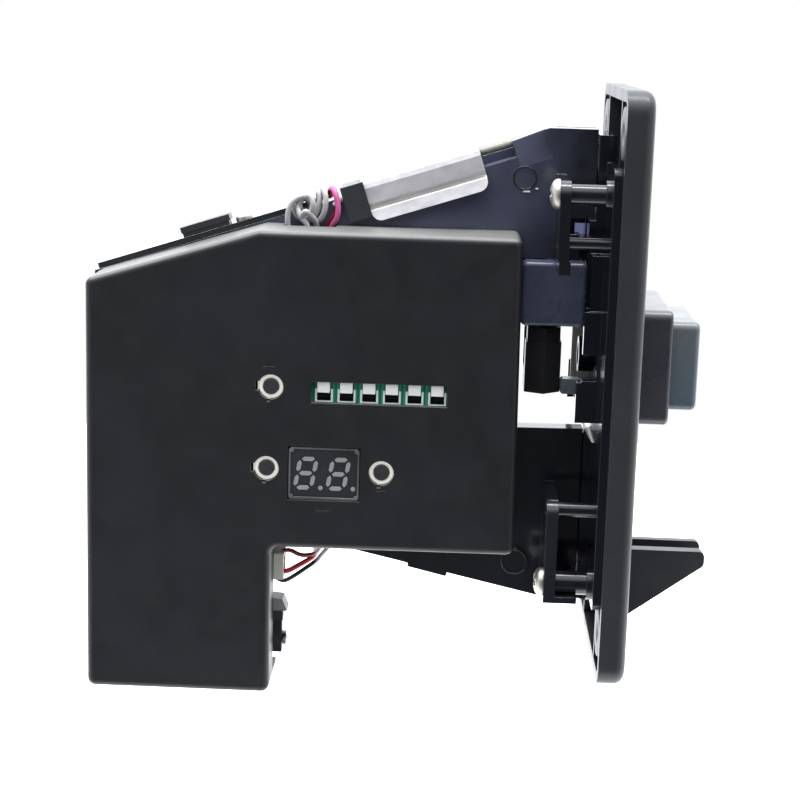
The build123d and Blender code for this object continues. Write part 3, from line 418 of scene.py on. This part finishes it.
class Shape:
    """Collects points and faces in millimetres and turns them into one piece."""

    def __init__(self):
        self.points = []
        self.faces = []

    def rings(self, rings, capped=True):
        """Skins closed rings of equal length, and closes both ends."""
        base = len(self.points)
        count = len(rings[0])
        for ring in rings:
            self.points.extend(ring)
        for level in range(len(rings) - 1):
            for side in range(count):
                a = base + level * count + side
                b = base + level * count + (side + 1) % count
                self.faces.append((a, b, b + count, a + count))
        if capped:
            self.faces.append(tuple(base + side for side in range(count)))
            last = base + (len(rings) - 1) * count
            self.faces.append(tuple(last + side for side in reversed(range(count))))

    def turned(self, profile, place, sides=40):
        """Solid of revolution; profile holds (radius, height) pairs."""
        self.rings([circle(place, r, h, sides) for r, h in profile])

    def block(self, x, y, z, bevel=0.0):
        """Box with its four X edges cut back by the bevel."""
        outline = [(y[0] + bevel, z[0]), (y[1] - bevel, z[0]), (y[1], z[0] + bevel), (y[1], z[1] - bevel),
                   (y[1] - bevel, z[1]), (y[0] + bevel, z[1]), (y[0], z[1] - bevel), (y[0], z[0] + bevel)]
        self.rings([[(depth, *corner) for corner in outline] for depth in x])

    def build(self, name, material, smooth_angle=35.0):
        mesh = bpy.data.meshes.new(name)
        mesh.from_pydata([Vector(p) * MM for p in self.points], [], self.faces)
        work = bmesh.new()
        work.from_mesh(mesh)
        bmesh.ops.remove_doubles(work, verts=work.verts, dist=1e-7)
        bmesh.ops.recalc_face_normals(work, faces=work.faces)
        for edge in work.edges:
            edge.smooth = edge.is_manifold and edge.calc_face_angle(0.0) < radians(smooth_angle)
        for face in work.faces:
            face.smooth = True
        work.to_mesh(mesh)
        work.free()
        mesh.materials.append(material)
        piece = bpy.data.objects.new(name, mesh)
        bpy.context.scene.collection.objects.link(piece)
        return piece


def cable(name, points, radius, material):
    """Smooth round wire through loose guide points."""
    curve = bpy.data.curves.new(name, "CURVE")
    curve.dimensions = "3D"
    curve.bevel_depth = radius * MM
    curve.bevel_resolution = 5
    curve.resolution_u = 10
    curve.use_fill_caps = True
    line = curve.splines.new("NURBS")
    line.points.add(len(points) - 1)
    for guide, point in zip(line.points, points):
        guide.co = (*(Vector(point) * MM), 1.0)
    line.order_u = 3
    line.use_endpoint_u = True
    curve.materials.append(material)
    piece = bpy.data.objects.new(name, curve)
    bpy.context.scene.collection.objects.link(piece)
    return piece


def settle(piece, body, slot, *nodes):
    """Attaches a piece to its moving body and hides the nodes it stands for."""
    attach(piece, body)
    for node in nodes:
        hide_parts(node)
    return piece


def facing_rear(x, y, z):
    """Places a turned shape with its top towards +Y."""
    return lambda u, v, h: (x + u, y + h, z + v)


def facing_side(x, y, z):
    """Places a turned shape with its top towards -X."""
    return lambda u, v, h: (x - h, y + u, z + v)


def on_slope(start, x, lift):
    """Places a turned shape with its top away from the sloped lid."""
    def place(u, v, h):
        along = start + u
        out = lift + h
        return (x + v, SLOPE_TOP[0] + along * cos(SLOPE) + out * sin(SLOPE),
                SLOPE_TOP[1] - along * sin(SLOPE) + out * cos(SLOPE))
    return place


# ---- screws, inserts and coils ----
HALF_SPAN_X = 24.0
INSERT_Z = 54.5
SCREW_SEATS = ((12.72, 41.5), (12.52, -43.7))
COIL_AXIS = (20.4, 0.0, -31.9)


def cross_head(shape, place, radius, rim, crown, reach, width, depth):
    """Domed screw head with a tapering cross recess."""
    sides = 72
    steps = 26

    def height(u, v):
        r = min(1.0, sqrt(u * u + v * v) / radius)
        dome = rim + crown * sqrt(max(0.0, 1 - r * r))
        arm = min(abs(u), abs(v))
        along = max(abs(u), abs(v))
        across = max(0.0, min(1.0, (width - arm) / (0.35 * width)))
        run = max(0.0, min(1.0, (reach - along) / (0.5 * reach)))
        return dome - depth * across * run

    rings = [circle(place, radius, 0.0, sides)]
    for step in range(steps + 1):
        r = radius * (1 - step / steps) + 0.005
        ring = []
        for i in range(sides):
            u = r * cos(2 * pi * i / sides)
            v = r * sin(2 * pi * i / sides)
            ring.append(place(u, v, height(u, v)))
        rings.append(ring)
    shape.rings(rings)


def fixing_screws():
    """Domed screws at the upper and lower corners of the mechanism."""
    shape = Shape()
    for x in (-HALF_SPAN_X, HALF_SPAN_X):
        for seat, z in SCREW_SEATS:
            place = facing_rear(x, seat, z)
            cross_head(shape, place, radius=3.2, rim=0.5, crown=1.6, reach=2.0, width=0.5, depth=1.0)
            shape.turned([(1.2, 0.05), (1.2, -7.3), (0.9, -7.5)], place, 24)
    settle(shape.build("fixing_screws_cross", MATERIALS["zinc"]), "frame", "zinc", "fixing_screws")


def lid_screw():
    """Small domed screw on the sloped lid."""
    shape = Shape()
    place = on_slope(73.2, -5.2, 0.0)
    cross_head(shape, place, radius=1.9, rim=0.5, crown=1.0, reach=1.2, width=0.32, depth=0.6)
    shape.turned([(0.8, 0.05), (0.8, -2.5), (0.5, -2.7)], place, 24)
    settle(shape.build("lid_screw_cross", MATERIALS["zinc"]), "frame", "zinc", "lid_screw")


def threaded_inserts():
    """Pressed-in nuts with a flange and a helical M5 thread."""
    shape = Shape()
    sides = 48
    pitch = 0.8
    levels = 61
    outer = [(3.0, -4.9), (3.0, -1.4), (5.5, -1.4), (5.7, -1.2), (5.7, -0.2), (5.45, 0.0), (2.75, 0.0)]
    for x in (-HALF_SPAN_X, HALF_SPAN_X):
        for z in (-INSERT_Z, INSERT_Z):
            rings = [circle(facing_rear(x, 0.0, z), r, h, sides) for r, h in outer]
            for level in range(levels):
                h = -0.25 - 4.6 * level / (levels - 1)
                ring = []
                for i in range(sides):
                    turn = (h / pitch - i / sides) % 1.0
                    r = 2.1 + 0.6 * abs(turn - 0.5)
                    ring.append((x + r * cos(2 * pi * i / sides), h, z + r * sin(2 * pi * i / sides)))
                rings.append(ring)
            rings.append(rings[0])
            shape.rings(rings, capped=False)
    settle(shape.build("threaded_inserts", INSERT_METAL, 60), "frame", "zinc", "corner_inserts")


def solenoid_winding():
    """Winding of thirty ridges, four steps to each, between two bobbin cheeks."""
    shape = Shape()
    steps = 30 * 4
    start, stop = 48.6, 66.4
    profile = [(3.3, 47.6), (6.6, 47.6), (6.6, 48.5), (5.7, 48.55)]
    for step in range(steps):
        y = start + (stop - start) * step / (steps - 1)
        profile.append((5.75 + 0.2 * sin(pi * (step % 4 + 0.5) / 4), y))
    profile += [(5.7, 66.45), (6.6, 66.5), (6.6, 67.4), (3.3, 67.4), (3.3, 47.6)]
    shape.rings([circle(facing_rear(*COIL_AXIS), r, y, 48) for r, y in profile], capped=False)
    winding = shape.build("solenoid_winding", MATERIALS["copper"], 70)
    settle(winding, "frame", "copper", "solenoid_coil")


def button_spring():
    """Return spring on the button's stem."""
    shape = Shape()
    coil_r, wire_r, turns, per_turn = 4.3, 0.4, 7, 28
    front, rear = -17.5, -0.9
    count = turns * per_turn
    rings = []
    for i in range(count + 1):
        share = i / count
        y = front + (rear - front) * (share - 0.07 * sin(2 * pi * share))
        angle = 2 * pi * turns * share
        ring = []
        for k in range(10):
            a = 2 * pi * k / 10
            out = coil_r + wire_r * cos(a)
            ring.append((out * cos(angle), y + wire_r * sin(a), 3.4 + out * sin(angle)))
        rings.append(ring)
    shape.rings(rings)
    piece = settle(shape.build("button_spring_coil", SHADED_SPRING, 80), "frame", "steel", "button_spring")
    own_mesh(piece)


# ---- wires ----
COIL_LEAD_R = 0.62
RED_LEAD_R = 0.58
SLEEVE_R = 0.55
DARK_LEAD_R = 0.5


def coil_lead_ball():
    """Grey leads that leave the cover, curl over themselves and drop onto the frame."""
    first = [
        (-10.6, 70.6, 28.6), (-10.9, 71.4, 31.2), (-11.0, 71.5, 34.6), (-10.8, 70.3, 37.2),
        (-10.4, 67.6, 38.3), (-10.6, 65.6, 36.6), (-10.8, 65.9, 34.0), (-10.2, 67.9, 32.8),
        (-9.6, 70.0, 33.9), (-9.4, 70.2, 36.0), (-9.0, 68.6, 37.6), (-8.6, 66.5, 36.8),
        (-8.4, 66.3, 34.8), (-8.2, 67.8, 33.9), (-7.8, 69.2, 35.2), (-7.2, 68.8, 37.2),
        (-6.2, 67.4, 38.2), (-5.2, 65.8, 36.4),
    ]
    curl = cable("grey_lead_curl", first, COIL_LEAD_R, MATERIALS["grey_wire"])
    settle(curl, "frame", "grey_wire", "coil_wire_grey")
    second = [
        (-11.4, 67.4, 28.6), (-12.0, 66.4, 31.4), (-11.6, 68.8, 33.8), (-9.6, 69.6, 36.8),
        (-10.6, 66.8, 38.6), (-12.0, 65.6, 36.6), (-11.2, 66.8, 33.4), (-10.0, 65.0, 32.2),
        (-10.8, 63.4, 34.2), (-10.8, 63.0, 37.6), (-9.4, 63.8, 39.8), (-6.6, 64.2, 39.4),
        (-5.2, 64.0, 37.2),
    ]
    loop = cable("grey_lead_loop", second, COIL_LEAD_R, MATERIALS["grey_wire"])
    settle(loop, "frame", "grey_wire")
    third = [
        (-9.8, 65.6, 28.6), (-10.2, 64.6, 31.6), (-11.6, 66.2, 34.0), (-12.4, 67.6, 35.2),
        (-11.6, 68.6, 33.0), (-10.2, 66.8, 32.4), (-9.6, 65.0, 34.4), (-9.6, 64.4, 37.4),
        (-8.6, 64.8, 39.2), (-6.4, 65.2, 38.6), (-5.4, 65.0, 36.8),
    ]
    twist = cable("grey_lead_twist", third, COIL_LEAD_R, MATERIALS["grey_wire"])
    settle(twist, "frame", "grey_wire")


def pink_lead():
    """Pink lead beside the grey ones, with a darker lead behind it and a white sleeve end."""
    pink = [
        (-9.8, 62.4, 28.6), (-10.3, 62.0, 31.6), (-10.7, 60.5, 33.4), (-10.7, 60.3, 36.4),
        (-9.8, 61.4, 39.6), (-7.2, 62.4, 39.9), (-5.2, 62.4, 38.0),
    ]
    loop = cable("pink_lead_loop", pink, COIL_LEAD_R, MATERIALS["pink_wire"])
    settle(loop, "frame", "pink_wire", "coil_wire_pink")
    dark = [
        (-9.0, 63.6, 29.0), (-9.2, 62.8, 32.2), (-9.4, 60.9, 34.4), (-9.2, 60.4, 37.2),
        (-8.4, 61.8, 39.6), (-6.6, 62.8, 39.2), (-5.4, 62.6, 37.6),
    ]
    behind = cable("dark_lead_loop", dark, DARK_LEAD_R, MATERIALS["dark_red_wire"])
    settle(behind, "frame", "dark_red_wire")
    tip = [(-8.9, 61.4, 36.2), (-9.2, 60.4, 37.0), (-9.3, 59.7, 37.8), (-9.1, 59.2, 38.0)]
    sleeve = cable("white_sleeve", tip, SLEEVE_R, MATERIALS["white_plastic"])
    settle(sleeve, "frame", "white_plastic")


def solenoid_leads():
    """Three leads that sag from the connector and pass under the chute to the solenoid."""
    routes = {
        "red_wire": (RED_LEAD_R, [
            (-13.2, 74.0, -46.6), (-13.0, 70.6, -47.4), (-12.4, 67.4, -45.6), (-11.2, 64.4, -44.0),
            (-6.0, 64.2, -44.9), (2.0, 64.8, -46.6), (10.0, 65.0, -47.4), (16.6, 63.0, -46.2),
            (17.2, 60.8, -40.4),
        ]),
        "dark_red_wire": (DARK_LEAD_R, [
            (-13.2, 74.0, -43.6), (-13.0, 71.6, -42.6), (-12.4, 69.6, -41.8), (-12.2, 67.0, -43.4),
            (-11.0, 64.2, -43.3), (-6.0, 63.8, -44.2), (2.0, 64.0, -45.8), (11.0, 63.4, -46.6),
            (18.4, 61.4, -44.8), (18.8, 59.0, -40.4),
        ]),
        "black_wire": (DARK_LEAD_R, [
            (-14.2, 74.0, -46.8), (-14.0, 71.2, -49.4), (-13.0, 68.6, -48.2), (-11.6, 64.2, -45.2),
            (-6.0, 63.4, -45.8), (2.0, 63.4, -47.2), (12.0, 62.0, -47.6), (20.0, 59.6, -44.8),
            (20.6, 57.2, -40.4),
        ]),
    }
    for name, (radius, points) in routes.items():
        settle(cable(f"{name}_lead", points, radius, MATERIALS[name]), "frame", name, name)


# ---- electronics details ----
TACTS = {"set": (73.1, -1.9), "plus": (73.8, -20.0), "minus": (48.7, -20.2)}


def tact_covers():
    """Pressed nickel covers with a raised collar round each key."""
    shape = Shape()
    sides = 48
    profile = [(1.85, 23.3, 0), (1.85, 24.9, 0), (1.95, 25.0, 0), (2.5, 25.0, 0), (2.6, 24.9, 0),
               (2.65, 24.05, 0), (3.0, 24.0, 1), (3.0, 23.3, 1), (1.85, 23.3, 0)]
    for y, z in TACTS.values():
        rings = []
        for r, h, square in profile:
            ring = []
            for i in range(sides):
                u = cos(2 * pi * (i + 0.5) / sides)
                v = sin(2 * pi * (i + 0.5) / sides)
                stretch = 1 / max(abs(u), abs(v)) if square else 1.0
                ring.append((-h, y + r * u * stretch, z + r * v * stretch))
            rings.append(ring)
        shape.rings(rings, capped=False)
    # The covers glow faintly as painted light.
    settle(shape.build("tact_covers", DULL_NICKEL), "frame", "zinc", "tact_plates")


def switch_window():
    """Green strip between the slide switches, with a white outline round each slot."""
    strip = Shape()
    outlines = Shape()
    slots = Shape()
    first, pitch, count = 37.1, 4.92, 6
    face = (-23.68, -23.61)
    half = 1.48
    low, floor, ceiling, high = -5.6, -4.92, 0.72, 1.6
    centres = [first + pitch * i for i in range(count)]
    margin = 3.4
    ends = (centres[0] - margin, centres[-1] + margin)
    strip.block(face, ends, (low, floor))
    edges = [ends[0]] + [c + side * half for c in centres for side in (-1, 1)] + [ends[1]]
    for left, right in zip(edges[0::2], edges[1::2]):
        strip.block(face, (left, right), (floor, ceiling))
    strip.block(face, ends, (ceiling, high))
    ink = (-23.73, -23.67)
    bar_half, bar_width, bar_offset = 1.95, 0.44, 1.73
    for y in centres:
        outlines.block(ink, (y - bar_half, y + bar_half), (-5.35, -4.9), 0.12)
        for side in (-1, 1):
            middle = y + side * bar_offset
            outlines.block(ink, (middle - bar_width / 2, middle + bar_width / 2), (-4.95, -2.3))
        slots.block((-22.06, -21.98), (y - 1.42, y + 1.42), (-4.9, 0.6))
        for rib in range(4):
            rib_z = -4.5 + rib * 0.62
            slots.block((-22.09, -22.0), (y - 1.2, y + 1.2), (rib_z, rib_z + 0.22))
    settle(strip.build("switch_strip", MATERIALS["circuit_board"]), "frame", "circuit_board")
    # The white outlines are real print that glows faintly as painted light.
    settle(outlines.build("switch_outlines", SILKSCREEN), "frame", "white_plastic")
    settle(slots.build("switch_slots", NAVY_GLOSS), "frame", "black_plastic")


def display_rim():
    """Moulded rim and corner pips of the two-digit display."""
    shape = Shape()
    y, z = (53.5, 68.9), (-26.6, -15.0)
    depth = (-25.85, -25.55)
    shape.block(depth, y, (z[0], z[0] + 0.55))
    shape.block(depth, y, (z[1] - 0.4, z[1]))
    shape.block(depth, (y[0], y[0] + 0.4), z)
    shape.block(depth, (y[1] - 0.4, y[1]), z)
    for corner_y in (y[0] + 0.6, y[1] - 0.6):
        for corner_z in (z[0] + 0.6, z[1] - 0.6):
            shape.turned([(0.5, 25.5), (0.5, 25.9), (0.3, 26.0)], facing_side(0, corner_y, corner_z), 20)
    settle(shape.build("display_rim", SMOKED_RIM), "frame", "display_grey")


def small_fittings():
    """Film behind the neck's window, which glows faintly as painted light, and the terminal block's pale
    latch.
    """
    film = Shape()
    film.block((8.3, 8.7), (5.0, 7.9), (29.3, 33.4), 0.2)
    settle(film.build("window_film", LILAC_FILM), "frame", "inlet_plastic")
    latch = Shape()
    wedge = [(73.2, -55.3), (69.5, -55.3), (70.6, -52.6), (73.2, -52.4)]
    latch.rings([[(x, *corner) for corner in wedge] for x in (-16.2, -11.0)])
    latch.block((-15.6, -12.0), (69.7, 70.5), (-63.4, -62.4), 0.1)
    settle(latch.build("terminal_latch", PALE_LATCH), "frame", "ivory_plastic")


def raised_marks():
    """Low raised shapes beside the keys, mould rings on the near wall and two steel chips on the neck."""
    marks = Shape()
    face = (-26.04, -25.95)
    for y, z, way in ((73.8, -24.6, 1), (48.7, -24.8, -1)):
        corners = [(y - 1.1, z - 0.7 * way), (y + 1.1, z - 0.7 * way), (y, z + 0.9 * way)]
        marks.rings([[(x, *corner) for corner in corners] for x in face])
    marks.block(face, (72.0, 75.0), (2.0, 2.6), 0.2)
    marks.block(face, (59.6, 63.0), (-29.6, -29.0), 0.2)
    settle(marks.build("raised_marks", MATERIALS["cover_plastic"]), "frame", "cover_plastic")
    moulds = Shape()
    upper = [(2.7, -0.05), (2.65, 0.12), (2.35, 0.12), (2.3, -0.05), (2.7, -0.05)]
    lower = [(3.0, 0.45), (2.95, 0.62), (2.6, 0.62), (2.55, 0.45), (3.0, 0.45)]
    for y, z, profile in ((19.6, 43.4, upper), (18.35, -43.85, lower)):
        moulds.rings([circle(facing_side(-8.0, y, z), r, h, 40) for r, h in profile], capped=False)
    settle(moulds.build("mould_rings", MATERIALS["mechanism_plastic"]), "frame", "mechanism_plastic")
    chips = Shape()
    for y, z, length in ((19.1, 40.5, 1.6), (16.9, 41.2, 0.7)):
        chips.block((-8.22, -7.98), (y - length / 2, y + length / 2), (z - 0.22, z + 0.12), 0.1)
    settle(chips.build("neck_staples", MATERIALS["steel"]), "frame", "steel")


add_camera()
add_world()
add_strip_light()
add_floor()
bpy.context.scene.view_settings.view_transform = "Standard"
dress_cad_nodes()
fixing_screws()
lid_screw()
threaded_inserts()
solenoid_winding()
button_spring()
coil_lead_ball()
pink_lead()
solenoid_leads()
tact_covers()
switch_window()
display_rim()
raised_marks()
small_fittings()
